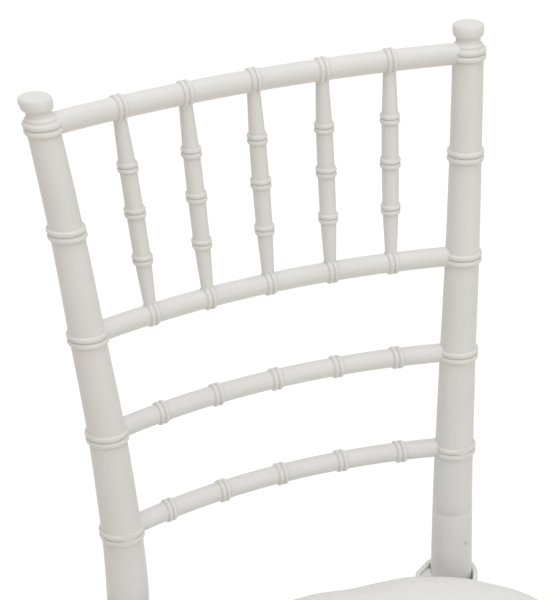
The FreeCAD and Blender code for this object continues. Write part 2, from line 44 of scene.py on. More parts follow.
bpy.ops.object.camera_add(
    location=(-0.5549, -1.0243, 1.4520),
    rotation=(math.radians(90 - VIEW_DROP), 0, math.radians(VIEW_TURN)),
)
camera = bpy.context.object
camera.data.lens = 120.06
camera.data.sensor_width = 36
bpy.context.scene.camera = camera
bpy.context.scene.view_settings.view_transform = "Standard"


# The studio: a white floor that runs on into a white surround, lit evenly from above and in front.
# The floor keeps a soft shadow under the chair.
def link(tree, start, stop):
    """Join two sockets of a node tree."""
    tree.links.new(start, stop)


def add_node(tree, kind, values=None, **settings):
    """A new shader node, with its settings and the fixed values of its inputs."""
    node = tree.nodes.new("ShaderNode" + kind)
    for name, setting in settings.items():
        setattr(node, name, setting)
    for socket, value in (values or {}).items():
        node.inputs[socket].default_value = value
    return node


def seen_directly(tree):
    """1 for light that goes straight to the eye, or by way of a gloss or a clear body; otherwise 0."""
    path = add_node(tree, "LightPath")
    seen = path.outputs["Is Camera Ray"]
    for way in ("Is Glossy Ray", "Is Transmission Ray"):
        either = add_node(tree, "Math", operation="MAXIMUM")
        link(tree, seen, either.inputs[0])
        link(tree, path.outputs[way], either.inputs[1])
        seen = either.outputs[0]
    return seen


bpy.ops.object.select_all(action="DESELECT")
bpy.ops.mesh.primitive_plane_add(size=30)
floor = bpy.context.object
floor.name = "studio_floor"
paint = bpy.data.materials.new("studio_floor_paint")
paint.use_nodes = True
tree = paint.node_tree
matt = tree.nodes["Principled BSDF"]
matt.inputs["Base Color"].default_value = (0.9, 0.86, 0.79, 1)
matt.inputs["Roughness"].default_value = 0.9
matt.inputs["Specular IOR Level"].default_value = 0.1
glow = add_node(tree, "Emission", {"Color": (1, 1, 1, 1), "Strength": 1.16})
share = add_node(tree, "Math", {1: 0.74}, operation="MULTIPLY")
blend = add_node(tree, "MixShader")
link(tree, seen_directly(tree), share.inputs[0])
link(tree, share.outputs[0], blend.inputs["Fac"])
link(tree, matt.outputs[0], blend.inputs[1])
link(tree, glow.outputs[0], blend.inputs[2])
link(tree, blend.outputs[0], tree.nodes["Material Output"].inputs["Surface"])
floor.data.materials.append(paint)

world = bpy.data.worlds.new("studio_surround")
bpy.context.scene.world = world
world.use_nodes = True
tree = world.node_tree
surround = tree.nodes["Background"]
daylight = add_node(tree, "Mix", {"A": (1.0, 0.965, 0.905, 1), "B": (1, 1, 1, 1)}, data_type="RGBA")
strength = add_node(tree, "MapRange", {"To Min": 0.555, "To Max": 1.05})
seen = seen_directly(tree)
link(tree, seen, daylight.inputs["Factor"])
link(tree, daylight.outputs["Result"], surround.inputs["Color"])
link(tree, seen, strength.inputs["Value"])
link(tree, strength.outputs["Result"], surround.inputs["Strength"])

for name, spot, aim, side, watts in (
    ("overhead_lamp", (-0.3, -0.4, 5.0), (0, 0, 0.6), 4.0, 103),
    ("front_lamp", (1.4, -3.4, 1.3), (0, 0, 0.5), 1.8, 18),
):
    bpy.ops.object.light_add(type="AREA", location=spot)
    lamp = bpy.context.object
    lamp.name = name
    lamp.data.size = side
    lamp.data.energy = watts
    lamp.data.color = (0.965, 0.985, 1.0)
    lamp.rotation_euler = (Vector(aim) - Vector(spot)).to_track_quat("-Z", "Y").to_euler()


# Back posts: one moulded resin post each side, round, tapered towards the top, with five double rings
# and a knob. Each plugs into its rear leg, in line with the leg's thigh, and a grub screw locks it there.
MM = 0.001
SEGMENTS = 56
POST_RINGS = (
    (169.7, 212.4, 894.1),
    (161.8, 195.4, 818.5),
    (155.0, 181.2, 738.9),
    (148.0, 168.7, 660.5),
    (143.2, 158.9, 578.7),
)
POST_FOOT = (
    (142.5, 157.6, 562.6),
    (142.1, 156.3, 546.6),
    (141.9, 155.3, 532.6),
    (141.9, 154.8, 523.0),
)
REAR_THIGH = (143.2, 147.3, 345.0)
POST_RADII = (11.95, 12.4, 13.3, 14.2, 15.35, 16.2)
POST_RING_LENGTH = 9.8
POST_TOP = (172.6, 219.1, 914.9)
KNOB = (
    (-0.6, 0.0), (-0.6, 6.0), (-0.5, 9.2), (-0.25, 10.3), (0.25, 11.15), (1.0, 11.75), (2.1, 12.05),
    (3.6, 12.15), (5.2, 12.05), (6.6, 11.8), (7.7, 11.5), (8.4, 11.2), (8.75, 10.75), (8.95, 10.0),
    (9.4, 9.65), (11.0, 9.4), (12.6, 9.4), (13.5, 9.7), (13.95, 10.3), (14.4, 11.0), (14.95, 11.4),
    (15.6, 11.45), (16.15, 11.35), (16.3, 11.6),
)
KNOB_END = 16.4
# How far the post's sections dip to the back, as a slope, at its foot and from the lowest ring up
POST_DIP = ((523, 580), (0.042, 0.075))
SHADE_ANGLE = math.radians(38)
CREST_RING = 21.35
PLUG_LENGTH, PLUG_RADIUS = 45.0, 11.0


def double_ring(length, crest, rise, groove):
    """Two half-round beads side by side: places along a bar and heights above it, in millimetres."""
    half = length / 2
    beads = [(0.0, groove)]
    for turn in range(-90, 91, 20):
        angle = math.radians(turn)
        reach = crest - 0.25 if turn < 0 else half - crest - 0.25
        low = groove + 0.1 if turn < 0 else 0.22
        beads.append((crest + reach * math.sin(angle), low + (rise - low) * math.cos(angle)))
    beads += [(half, 0.08), (half + 0.8, 0.0)]
    return [(-place, height) for place, height in reversed(beads[1:])] + beads


def between(place, places, values):
    """The value at a place, on straight lines between known ones."""
    if place <= places[0]:
        return values[0]
    for low, high, first, last in zip(places, places[1:], values, values[1:]):
        if place <= high:
            return first + (last - first) * (place - low) / (high - low)
    return values[-1]


def ringed(start, stop, rings, ring, places, radii, spacing=12):
    """The outline of a bar from start to stop, with a set of beads at each ring."""
    outline = []
    marks = [start, *rings, stop]
    for index, mark in enumerate(marks):
        if 0 < index < len(marks) - 1:
            outline += [(mark + step, between(mark + step, places, radii) + rise) for step, rise in ring]
        else:
            outline.append((mark, between(mark, places, radii)))
        if index < len(marks) - 1:
            low, high = outline[-1][0], marks[index + 1] + (ring[0][0] if index < len(marks) - 2 else 0)
            count = max(1, round((high - low) / spacing))
            for step in range(1, count):
                place = low + (high - low) * step / count
                outline.append((place, between(place, places, radii)))
    return outline


def turned(name, outline, segments=SEGMENTS):
    """Turn an outline of places along X and radii, in millimetres, once round the X axis."""
    bpy.ops.object.select_all(action="DESELECT")
    bpy.ops.mesh.primitive_circle_add(vertices=3, radius=MM, enter_editmode=True)
    bpy.ops.mesh.select_mode(type="VERT")
    bpy.ops.mesh.select_all(action="SELECT")
    bpy.ops.mesh.merge(type="CENTER")
    bpy.ops.transform.translate(value=(outline[0][0] * MM, 0, outline[0][1] * MM))
    for (place, radius), (next_place, next_radius) in zip(outline, outline[1:]):
        bpy.ops.mesh.extrude_region_move(
            TRANSFORM_OT_translate={"value": ((next_place - place) * MM, 0, (next_radius - radius) * MM)}
        )
    bpy.ops.mesh.select_all(action="SELECT")
    bpy.ops.mesh.spin(steps=segments, angle=2 * math.pi, center=(0, 0, 0), axis=(1, 0, 0))
    bpy.ops.mesh.select_all(action="SELECT")
    bpy.ops.mesh.remove_doubles(threshold=0.000002)
    bpy.ops.mesh.normals_make_consistent(inside=False)
    bpy.ops.object.editmode_toggle()
    bpy.ops.object.shade_smooth_by_angle(angle=SHADE_ANGLE)
    piece = bpy.context.object
    piece.name = name
    piece.data.name = name
    return piece


def mark_creases(piece, rings, length):
    """Store how near each point of a bar on X is to the groove or the foot of a double ring, where the skin
    gets painted shade.
    """
    crease = piece.data.attributes.new("crease", "FLOAT", "POINT")
    for index, vertex in enumerate(piece.data.vertices):
        gaps = [abs(vertex.co.x / MM - ring) for ring in rings]
        away = min(min(gap, abs(gap - length / 2)) for gap in gaps)
        crease.data[index].value = max(0.0, 1.0 - away / 0.9)


def copy_of(piece, name):
    """A copy with a mesh of its own."""
    twin = piece.copy()
    twin.data = piece.data.copy()
    twin.name = name
    twin.data.name = name
    bpy.context.collection.objects.link(twin)
    return twin


def apply_all(piece):
    """Apply a piece's modifiers and its place."""
    bpy.ops.object.select_all(action="DESELECT")
    piece.select_set(True)
    bpy.context.view_layer.objects.active = piece
    for modifier in list(piece.modifiers):
        bpy.ops.object.modifier_apply(modifier=modifier.name)
    bpy.ops.object.transform_apply(location=True, rotation=True, scale=True)
    return piece


def bend_along(piece, points):
    """Bend a bar on the X axis so that it follows a smooth line through points, in millimetres."""
    line = bpy.data.curves.new(piece.name + "_line", "CURVE")
    line.dimensions = "3D"
    line.resolution_u = 32
    spline = line.splines.new("BEZIER")
    spline.bezier_points.add(len(points) - 1)
    for knot, point in zip(spline.bezier_points, points):
        knot.co = Vector(point) * MM
        knot.handle_left_type = "AUTO"
        knot.handle_right_type = "AUTO"
    guide = bpy.data.objects.new(line.name, line)
    bpy.context.collection.objects.link(guide)
    bend = piece.modifiers.new("bend", "CURVE")
    bend.object = guide
    bend.deform_axis = "POS_X"
    apply_all(piece)
    bpy.data.objects.remove(guide)
    return piece


def smooth_line(places, points):
    """A function that gives the point of a smooth line at a distance along it."""
    points = [Vector(point) for point in points]
    slopes = []
    for index in range(len(points)):
        low, high = max(index - 1, 0), min(index + 1, len(points) - 1)
        slopes.append((points[high] - points[low]) / (places[high] - places[low]))

    def at(place):
        if place <= places[0]:
            return points[0] + slopes[0] * (place - places[0])
        for index, (near, far) in enumerate(zip(places, places[1:])):
            if place <= far:
                run = far - near
                share = (place - near) / run
                return (
                    points[index] * (2 * share**3 - 3 * share**2 + 1)
                    + points[index + 1] * (3 * share**2 - 2 * share**3)
                    + slopes[index] * run * (share**3 - 2 * share**2 + share)
                    + slopes[index + 1] * run * (share**3 - share**2)
                )
        return points[-1] + slopes[-1] * (place - places[-1])

    return at


def cage_bend(piece, length, reach, shape, steps=1):
    """Bend a bar on the X axis with a lattice; shape gives the new place of a point, in millimetres."""
    cage = bpy.data.lattices.new(piece.name + "_cage")
    holder = bpy.data.objects.new(cage.name, cage)
    bpy.context.collection.objects.link(holder)
    cage.points_u = steps + 3
    cage.interpolation_type_u = "KEY_CATMULL_ROM" if steps > 1 else "KEY_LINEAR"
    cage.interpolation_type_v = "KEY_LINEAR"
    cage.interpolation_type_w = "KEY_LINEAR"
    holder.location.x = length / 2 * MM
    holder.scale = (length * (1 + 2 / steps) * MM, 2 * reach * MM, 2 * reach * MM)
    bpy.context.view_layer.update()
    for point in cage.points:
        moved = shape(holder.matrix_world @ point.co / MM) * MM
        point.co_deform = holder.matrix_world.inverted() @ moved
    bend = piece.modifiers.new("bend", "LATTICE")
    bend.object = holder
    apply_all(piece)
    bpy.data.objects.remove(holder)
    bpy.ops.object.mode_set(mode="EDIT")
    bpy.ops.mesh.select_all(action="SELECT")
    bpy.ops.mesh.normals_make_consistent(inside=False)
    bpy.ops.object.mode_set(mode="OBJECT")
    return piece


def group_socket(tree, name, way, kind, value=None):
    """A named input or output of a shader node group."""
    socket = tree.interface.new_socket(name=name, in_out=way, socket_type=kind)
    if value is not None:
        socket.default_value = value
    return socket


def mottled_skin():
    """A node group: the clouds, flow marks and fine grain of a moulded skin, and the creases where its shade
    is painted.
    """
    tree = bpy.data.node_groups.new("moulded_skin", "ShaderNodeTree")
    group_socket(tree, "Cloud Size", "INPUT", "NodeSocketFloat", 14.0)
    group_socket(tree, "Grain Size", "INPUT", "NodeSocketFloat", 900.0)
    group_socket(tree, "Tint", "OUTPUT", "NodeSocketFloat")
    group_socket(tree, "Gloss", "OUTPUT", "NodeSocketFloat")
    group_socket(tree, "Height", "OUTPUT", "NodeSocketFloat")
    group_socket(tree, "Crease", "OUTPUT", "NodeSocketFloat")
    entry = tree.nodes.new("NodeGroupInput")
    exit_ = tree.nodes.new("NodeGroupOutput")
    place = add_node(tree, "TexCoord")
    cloud = add_node(tree, "TexNoise", {"Detail": 3, "Roughness": 0.55})
    grain = add_node(tree, "TexNoise", {"Detail": 2})
    flow = add_node(tree, "TexNoise", {"Detail": 2, "Scale": 160})
    crease = add_node(tree, "Attribute", attribute_name="crease")
    mixed = add_node(tree, "Math", {1: 0.35}, operation="MULTIPLY_ADD")
    for texture in (cloud, grain, flow):
        link(tree, place.outputs["Object"], texture.inputs["Vector"])
    link(tree, entry.outputs["Cloud Size"], cloud.inputs["Scale"])
    link(tree, entry.outputs["Grain Size"], grain.inputs["Scale"])
    link(tree, cloud.outputs["Fac"], exit_.inputs["Tint"])
    link(tree, flow.outputs["Fac"], exit_.inputs["Gloss"])
    link(tree, flow.outputs["Fac"], mixed.inputs[0])
    link(tree, grain.outputs["Fac"], mixed.inputs[2])
    link(tree, mixed.outputs[0], exit_.inputs["Height"])
    link(tree, crease.outputs["Fac"], exit_.inputs["Crease"])
    return tree


SKIN = mottled_skin()


def add_ramp(tree, low, dark, high, light):
    """A colour ramp from a dark tone to a light one."""
    ramp = add_node(tree, "ValToRGB")
    for stop, place, tone in zip(ramp.color_ramp.elements, (low, high), (dark, light)):
        stop.position = place
        stop.color = (*tone, 1)
    return ramp


def moulded(name, light, dark, crease_shade_tone, roughness, depth):
    """Moulded plastic: a clouded colour, with painted shade that darkens its creases, and a fine grain."""
    material = bpy.data.materials.new(name)
    material.use_nodes = True
    tree = material.node_tree
    shader = tree.nodes["Principled BSDF"]
    shader.inputs["Specular IOR Level"].default_value = 0.4
    skin = add_node(tree, "Group", node_tree=SKIN)
    clouds = add_ramp(tree, 0.32, dark, 0.68, light)
    # Painted shade: near the ring grooves and the rings' feet, the colour is mixed toward the darker crease
    # tone.
    painted_crease_shade = add_node(tree, "Mix", {"B": (*crease_shade_tone, 1)}, data_type="RGBA")
    share = add_node(tree, "Math", {1: 0.45}, operation="MULTIPLY")
    gloss = add_node(tree, "MapRange", {"To Min": roughness - 0.06, "To Max": roughness + 0.06})
    bump = add_node(tree, "Bump", {"Strength": 0.6, "Distance": depth})
    link(tree, skin.outputs["Tint"], clouds.inputs["Fac"])
    link(tree, clouds.outputs["Color"], painted_crease_shade.inputs["A"])
    link(tree, skin.outputs["Crease"], share.inputs[0])
    link(tree, share.outputs[0], painted_crease_shade.inputs["Factor"])
    link(tree, painted_crease_shade.outputs["Result"], shader.inputs["Base Color"])
    link(tree, skin.outputs["Gloss"], gloss.inputs["Value"])
    link(tree, gloss.outputs["Result"], shader.inputs["Roughness"])
    link(tree, skin.outputs["Height"], bump.inputs["Height"])
    link(tree, bump.outputs["Normal"], shader.inputs["Normal"])
    return material


# White resin; the third tone is the painted shade in its creases.
RESIN = moulded(
    "white_resin", (0.765, 0.76, 0.75), (0.735, 0.73, 0.72), (0.60, 0.575, 0.52), 0.46, 0.00006
)


def finish_piece(piece, material, node, body="chair"):
    """Give a piece its material, and let it ride on a body in the place of a CAD node."""
    piece.data.materials.clear()
    piece.data.materials.append(material)
    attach(piece, body)
    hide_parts(node)
    return piece


def mirrored(point, side):
    """A point of the chair's right half, or its mirror image on the left."""
    return (point[0] * side, point[1], point[2])


post_line = [Vector(point) for point in POST_RINGS + POST_FOOT]
plug_end = post_line[-1] + (Vector(REAR_THIGH) - post_line[-1]).normalized() * PLUG_LENGTH
line_places = [0, CREST_RING]
for upper, lower in zip(post_line, post_line[1:] + [plug_end]):
    line_places.append(line_places[-1] + (lower - upper).length)
ring_places = line_places[1:1 + len(POST_RINGS)]
post_length = line_places[-2]
post_ring = double_ring(POST_RING_LENGTH, 2.6, 2.0, 0.55)
shaft = ringed(KNOB_END, post_length - 0.15, ring_places, post_ring, ring_places + [post_length], POST_RADII)
outline = list(KNOB) + [spot for spot in shaft if spot[0] > KNOB_END + 0.02]
outline += [
    (post_length, POST_RADII[-1] - 0.1),
    (post_length, PLUG_RADIUS),
    (post_length + PLUG_LENGTH - 1, PLUG_RADIUS),
    (post_length + PLUG_LENGTH, PLUG_RADIUS - 1),
    (post_length + PLUG_LENGTH, 0.0),
]
straight_post = turned("straight_post", outline)
mark_creases(straight_post, ring_places, POST_RING_LENGTH)
post_at = smooth_line(line_places, [POST_TOP] + post_line + [plug_end])


def level_sections(middle_at, side, dips):
    """A shape for a bar that runs downward along a line, with nearly level sections that dip to the back."""
    def shape(point):
        middle = middle_at(point.x)
        dip = math.atan(between(middle.z, *dips))
        back = Vector((0, math.cos(dip), -math.sin(dip)))
        return Vector(mirrored(middle + Vector((point.y, 0, 0)) + back * point.z, side))
    return shape


for name, side in (("left", -1), ("right", 1)):
    post = copy_of(straight_post, "turned_back_post_" + name)
    cage_bend(post, post_length + PLUG_LENGTH, 16, level_sections(post_at, side, POST_DIP), 48)
    finish_piece(post, RESIN, "back_post_" + name)
bpy.data.objects.remove(straight_post)


# Back rails: four round moulded rails that bow backward between the posts, each with five double rings.
# They run straight into the posts, and the rings of the lower three stand more upright than their rails.
BOW_WAY = Vector((0, 0.9958, -0.0915))
RAIL_RING_LENGTH = 8.6
# Half width, its ends' setback and height, bow, rings, radius, and how squarely its sections follow the bow
RAILS = {
    "crest_rail": (169.7, (212.4, 894.1), 20.9, (-108.9, -55.3, 0, 55.3, 108.9), 8.4, 1.0),
    "spindle_rail": (155.0, (181.2, 738.9), 23.9, (-99.8, -51.1, 0, 51.1, 99.8), 7.7, 0.5),
    "middle_rail": (148.0, (168.7, 660.5), 24.7, (-99.8, -51.1, 0, 51.1, 99.8), 7.45, 0.45),
    "low_rail": (143.2, (158.9, 578.7), 24.4, (-99.8, -51.1, 0, 51.1, 99.8), 7.45, 0.4),
}


def rail_arc(name):
    """A rail's radius of bend, and a function for its centreline at a distance from the middle plane."""
    half, ends, bow = RAILS[name][:3]
    bend = (half**2 + bow**2) / (2 * bow)
    centre = Vector((0, *ends)) + BOW_WAY * (bow - bend)
    return bend, lambda x: centre + Vector((x, 0, 0)) + BOW_WAY * math.sqrt(bend**2 - x**2)


rail_ring = double_ring(RAIL_RING_LENGTH, 1.95, 1.65, 0.45)
for name, (half, _, _, rings, radius, squareness) in RAILS.items():
    bend, point_at = rail_arc(name)
    span = 2 * bend * math.asin(half / bend)
    places = [span / 2 + bend * math.asin(x / bend) for x in rings]
    shaft = ringed(4.0, span - 4.0, places, rail_ring, [0, span], [radius, radius], 7)
    rail = turned("turned_" + name, [(4.0, 0.0)] + shaft + [(span - 4.0, 0.0)])
    mark_creases(rail, places, RAIL_RING_LENGTH)

    def bowed(point):
        turn = (point.x - span / 2) / bend
        lean = turn * squareness
        across = (BOW_WAY * math.cos(lean) + Vector((math.sin(lean), 0, 0))) / math.cos(turn - lean)
        up = BOW_WAY.cross(Vector((-1, 0, 0)))
        return point_at(bend * math.sin(turn)) + across * point.y + up * point.z

    cage_bend(rail, span, 10.5, bowed, 40)
    finish_piece(rail, RESIN, name)


# Spindles: five turned bars between the two upper rails, slim at their ends, with three double rings each.
SPINDLE_RINGS = (43.6, 78.0, 114.4)
SPINDLE_RING_LENGTH = 8.4
SPINDLE_DIP = ((0, 1), (0.07, 0.07))
spindle_ring = double_ring(SPINDLE_RING_LENGTH, 1.9, 1.5, 0.4)
crest_at, lower_at = (rail_arc(name)[1] for name in ("crest_rail", "spindle_rail"))
spans = []
for top_x, foot_x in zip(RAILS["crest_rail"][3], RAILS["spindle_rail"][3]):
    spans.append((crest_at(top_x), lower_at(foot_x)))
span = (spans[2][1] - spans[2][0]).length
places = [0, 12, *SPINDLE_RINGS, span - 12, span]
radii = [4.8, 5.1, 6.35, 6.6, 6.3, 4.8, 4.4]
outline = ringed(4.5, span - 4.0, SPINDLE_RINGS, spindle_ring, places, radii, 8)
outline = [(4.5, 0.0)] + outline + [(span - 4.0, 0.0)]
straight_spindle = turned("straight_spindle", outline, 44)
mark_creases(straight_spindle, SPINDLE_RINGS, SPINDLE_RING_LENGTH)
for number, (top, foot) in enumerate(spans, start=1):
    spindle = copy_of(straight_spindle, "turned_spindle_%d" % number)
    spindle_at = smooth_line([0, span], [top, foot])
    cage_bend(spindle, span, 8.5, level_sections(spindle_at, 1, SPINDLE_DIP))
    finish_piece(spindle, RESIN, "spindle_%d" % number)
bpy.data.objects.remove(straight_spindle)


# Rear legs: one moulded resin leg each side. It ends above the seat in a sleeve that takes the post's plug,
# stands straight through the seat's corner, and rakes backward below it, with two double rings.
SEAM = POST_FOOT[-1]
REAR_SHIN = (143.2, 159.0, 235.0)
REAR_SOLE = (147.9, 192.4, 4.0)
SLEEVE_DEPTH, SLEEVE_BORE = 45.5, 11.3
SCREW_HEIGHT = 495.8
SCREW_TURN = math.radians(13.5)
SCREW_SKIN = 16.7
SCREW_HOLE = 2.0


def part_way(start, stop, share):
    """A point on the straight line between two others."""
    return Vector(start) + (Vector(stop) - Vector(start)) * share


def thigh_axis(height):
    """The axis of the right rear leg at a height, from its upper ring to its seam."""
    return part_way(SEAM, REAR_THIGH, (SEAM[2] - height) / (SEAM[2] - REAR_THIGH[2]))


def cut_away(piece, cutter):
    """Cut a closed shape out of a piece, and take the cutter away."""
    cut = piece.modifiers.new("cut", "BOOLEAN")
    cut.operation = "DIFFERENCE"
    cut.solver = "EXACT"
    cut.object = cutter
    apply_all(piece)
    bpy.data.objects.remove(cutter)
    bpy.ops.object.select_all(action="DESELECT")
    piece.select_set(True)
    bpy.ops.object.shade_smooth_by_angle(angle=SHADE_ANGLE)


def round_bar(name, start, stop, radius, sides=32):
    """A plain round bar between two points, in millimetres."""
    start, stop = Vector(start), Vector(stop)
    turn = (stop - start).to_track_quat("Z", "Y").to_euler()
    bpy.ops.object.select_all(action="DESELECT")
    bpy.ops.mesh.primitive_cylinder_add(
        vertices=sides, radius=radius * MM, depth=(stop - start).length * MM,
        location=(start + stop) / 2 * MM, rotation=turn,
    )
    bar = bpy.context.object
    bar.name = name
    bar.data.name = name
    bpy.ops.object.transform_apply(location=True, rotation=True, scale=True)
    return bar


def screw_line(side):
    """The middle of a lock screw on the sleeve's skin, and the way that it points into the leg."""
    outward = Vector((math.sin(SCREW_TURN), -math.cos(SCREW_TURN), 0))
    skin = thigh_axis(SCREW_HEIGHT) + outward * SCREW_SKIN
    return Vector(mirrored(skin, side)), Vector(mirrored(-outward, side))


thigh_run = (Vector(REAR_THIGH) - Vector(SEAM)).length
shin_run = (Vector(REAR_SHIN) - Vector(REAR_THIGH)).length
sole_run = (Vector(REAR_SOLE) - Vector(REAR_SHIN)).length
leg_knuckles = [thigh_run, thigh_run + shin_run]
leg_length = leg_knuckles[-1] + sole_run
leg_places = [0, 78, leg_knuckles[0], leg_knuckles[0], leg_knuckles[1], leg_knuckles[1], leg_length]
leg_radii = [16.22, 17.25, 17.0, 15.8, 15.0, 14.2, 12.8]
leg_body = ringed(0.15, leg_length - 0.8, leg_knuckles, post_ring, leg_places, leg_radii)
outline = [(SLEEVE_DEPTH, 0.0), (SLEEVE_DEPTH, SLEEVE_BORE), (0.3, SLEEVE_BORE), (0.0, SLEEVE_BORE + 0.3)]
outline += [(0.0, 16.18)] + leg_body + [(leg_length, leg_radii[-1] - 0.8), (leg_length, 0.0)]
straight_leg = turned("straight_leg", outline)
mark_creases(straight_leg, leg_knuckles, POST_RING_LENGTH)
for name, side in (("left", -1), ("right", 1)):
    leg = copy_of(straight_leg, "turned_rear_leg_" + name)
    line = [part_way(SEAM, REAR_THIGH, share) for share in (0, 0.25, 0.5, 0.75, 0.9, 1)]
    line += [part_way(REAR_THIGH, REAR_SHIN, share) for share in (0.5, 1)]
    line += [part_way(REAR_SHIN, REAR_SOLE, share) for share in (0.3, 0.65, 1)]
    bend_along(leg, [mirrored(point, side) for point in line])
    skin, inward = screw_line(side)
    cut_away(leg, round_bar("screw_hole", skin - inward * 3, skin + inward * 6, SCREW_HOLE, 24))
    finish_piece(leg, RESIN, "rear_leg_" + name)
bpy.data.objects.remove(straight_leg)


# Front legs: straight turned legs of the same resin, pegged up into the seat, with two double rings.
FRONT_LEG = (172.0, -215.0)
PEG_TOP, SEAT_UNDERSIDE, SOLE = 437.0, 415.0, 4.0
PEG_RADIUS = 12.5


def set_along(piece, start, stop):
    """Move a bar from the X axis to run from one point towards another, in millimetres."""
    way = (Vector(stop) - Vector(start)).normalized()
    turn = way.to_track_quat("X", "Z").to_matrix().to_4x4()
    piece.matrix_world = Matrix.Translation(Vector(start) * MM) @ turn
    return apply_all(piece)


front_length = PEG_TOP - SOLE
peg = PEG_TOP - SEAT_UNDERSIDE
front_knuckles = [PEG_TOP - REAR_THIGH[2], PEG_TOP - REAR_SHIN[2]]
front_places = [peg, front_knuckles[0], front_knuckles[0], front_knuckles[1], front_knuckles[1], front_length]
front_radii = [16.6, 16.3, 15.4, 14.8, 13.9, 12.8]
outline = [(0.0, 0.0), (0.0, PEG_RADIUS - 0.8), (0.8, PEG_RADIUS), (peg, PEG_RADIUS), (peg, 16.0)]
outline += ringed(peg + 0.6, front_length - 0.8, front_knuckles, post_ring, front_places, front_radii)
outline += [(front_length, front_radii[-1] - 0.8), (front_length, 0.0)]
straight_leg = turned("straight_leg", outline)
mark_creases(straight_leg, front_knuckles, POST_RING_LENGTH)
for name, side in (("left", -1), ("right", 1)):
    leg = copy_of(straight_leg, "turned_front_leg_" + name)
    set_along(leg, mirrored((*FRONT_LEG, PEG_TOP), side), mirrored((*FRONT_LEG, SOLE), side))
    finish_piece(leg, RESIN, "front_leg_" + name)
bpy.data.objects.remove(straight_leg)


# Stretchers: seven slim bars that tie the legs together, two in front, two at each side and one behind,
# with three double rings each. Their ends are glued into the legs.
STRETCHER_RADIUS = 7.4
STRETCHER_SWELL = ((10.5, 2.0), (15.2, 1.6), (16.2, 0.8), (17.4, 0.3), (19.0, 0.0))
STRETCHERS = {
    "front_stretcher_upper": ("front", -1, "front", 1, 315.0),
    "front_stretcher_lower": ("front", -1, "front", 1, 200.0),
    "rear_stretcher": ("rear", -1, "rear", 1, 200.0),
    "side_stretcher_upper_left": ("front", -1, "rear", -1, 285.0),
    "side_stretcher_lower_left": ("front", -1, "rear", -1, 170.0),
    "side_stretcher_upper_right": ("front", 1, "rear", 1, 285.0),
    "side_stretcher_lower_right": ("front", 1, "rear", 1, 170.0),
}


def leg_axis(end, side, height):
    """The axis of a leg at a height."""
    if end == "front":
        return Vector(mirrored((*FRONT_LEG, height), side))
    high, low = (REAR_THIGH, REAR_SHIN) if height > REAR_SHIN[2] else (REAR_SHIN, REAR_SOLE)
    return Vector(mirrored(part_way(high, low, (high[2] - height) / (high[2] - low[2])), side))


for name, (first, first_side, second, second_side, height) in STRETCHERS.items():
    start, stop = leg_axis(first, first_side, height), leg_axis(second, second_side, height)
    span = (stop - start).length
    places = [span * share for share in (0.25, 0.5, 0.75)]
    start_swell = [(place, STRETCHER_RADIUS + rise) for place, rise in STRETCHER_SWELL]
    stop_swell = [(span - place, STRETCHER_RADIUS + rise) for place, rise in reversed(STRETCHER_SWELL)]
    swell_end = STRETCHER_SWELL[-1][0]
    middle = ringed(swell_end, span - swell_end, places, rail_ring, [0, span], [STRETCHER_RADIUS] * 2, 14)
    outline = start_swell + middle[1:-1] + stop_swell
    bar = turned("turned_" + name, [(outline[0][0], 0.0)] + outline + [(outline[-1][0], 0.0)], 40)
    mark_creases(bar, places, RAIL_RING_LENGTH)
    set_along(bar, start, stop)
    finish_piece(bar, RESIN, name)


# Seat: one resin moulding, a deck with a rounded rim and, underneath, pockets between thin ribs. The rear
# legs pass through its rear corners, and the front legs are pegged into solid front corners.
SEAT_TOP = 445.0
SEAT_FRONT, SEAT_REAR = -241.0, 174.5
SEAT_FRONT_HALF, SEAT_REAR_HALF = 201.0, 165.5
SEAT_FRONT_CORNER, SEAT_REAR_CORNER = 46.0, 23.5
DECK = 5.0
POCKETS_FRONT, POCKETS_REAR, POCKETS_HALF = -227.0, 163.0, 104.0
CORNER_BLOCK = 25.0
LEG_HOLE, PEG_HOLE = 17.4, 12.6


def block(name, low, high):
    """A box between two corners, in millimetres."""
    low, high = Vector(low), Vector(high)
    bpy.ops.object.select_all(action="DESELECT")
    bpy.ops.mesh.primitive_cube_add(size=MM, location=(low + high) / 2 * MM, scale=high - low)
    piece = bpy.context.object
    piece.name = name
    piece.data.name = name
    bpy.ops.object.transform_apply(location=True, rotation=True, scale=True)
    return piece


def choose_edges(piece, wanted):
    """Select a piece's edges whose two ends, in millimetres, pass a test, and stay in edit mode."""
    bpy.ops.object.mode_set(mode="EDIT")
    bpy.ops.mesh.select_mode(type="EDGE")
    bpy.ops.mesh.select_all(action="DESELECT")
    bpy.ops.object.mode_set(mode="OBJECT")
    for edge in piece.data.edges:
        first, second = (piece.data.vertices[end].co / MM for end in edge.vertices)
        edge.select = wanted(first, second)
    bpy.ops.object.mode_set(mode="EDIT")


def round_edges(piece, wanted, size, steps):
    """Round the edges that pass a test."""
    choose_edges(piece, wanted)
    bpy.ops.mesh.bevel(offset=size * MM, segments=steps, profile=0.5, affect="EDGES", clamp_overlap=False)
    bpy.ops.object.mode_set(mode="OBJECT")


def upright(first, second):
    """True for an edge that runs along Z."""
    return abs(first.z - second.z) > 5 and (first.xy - second.xy).length < 0.5


def at_level(height):
    """A test for edges that lie flat at a height."""
    return lambda first, second: abs(first.z - height) < 0.05 and abs(second.z - height) < 0.05


